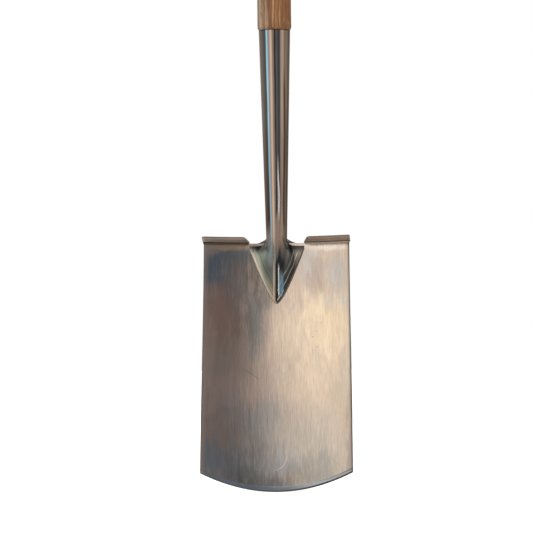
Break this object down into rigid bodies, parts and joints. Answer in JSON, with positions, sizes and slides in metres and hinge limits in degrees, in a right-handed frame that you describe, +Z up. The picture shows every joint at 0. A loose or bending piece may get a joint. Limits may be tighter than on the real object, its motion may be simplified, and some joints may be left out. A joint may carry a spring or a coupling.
{
  "type": "garden spade",
  "caption": "Garden digging spade with a dished steel blade, welded foot treads, a tapered socket with a V foot, and a wooden shaft with a split top and cross-bar grip.",
  "frame": {"origin": "bottom centre of the bounding box, level with the lowest point of the cutting edge", "axes": "+Z up along the shaft, +X across the blade to the right seen from the front, -Y the hollow front of the blade"},
  "size_m": [0.1662, 0.0783, 1.1001],
  "materials": {
    "blade_steel": "satin, fine brushing lengthwise",
    "tread_steel": "satin",
    "socket_steel": "polished",
    "weld_steel": "ground and polished",
    "fastener_steel": "satin, slightly dull",
    "shaft_wood": "oiled, satin",
    "wedge_wood": "oiled, satin",
    "grip_wood": "oiled, satin, worn smooth"
  },
  "bodies": {
    "root": {"blade": "blade_steel", "left_tread": "tread_steel", "right_tread": "tread_steel", "left_tread_weld": "weld_steel", "right_tread_weld": "weld_steel", "foot_weld_left": "weld_steel", "foot_weld_right": "weld_steel", "tongue_weld_left": "weld_steel", "tongue_weld_right": "weld_steel", "socket": "socket_steel", "socket_screw_upper": "fastener_steel", "socket_screw_lower": "fastener_steel", "grip_rivet": "fastener_steel", "neck_rivet": "fastener_steel", "grip_washer_left": "fastener_steel", "grip_washer_right": "fastener_steel", "neck_washer_left": "fastener_steel", "neck_washer_right": "fastener_steel", "shaft": "shaft_wood", "crotch_wedge": "wedge_wood", "grip": "grip_wood"}
  },
  "joints": []
}
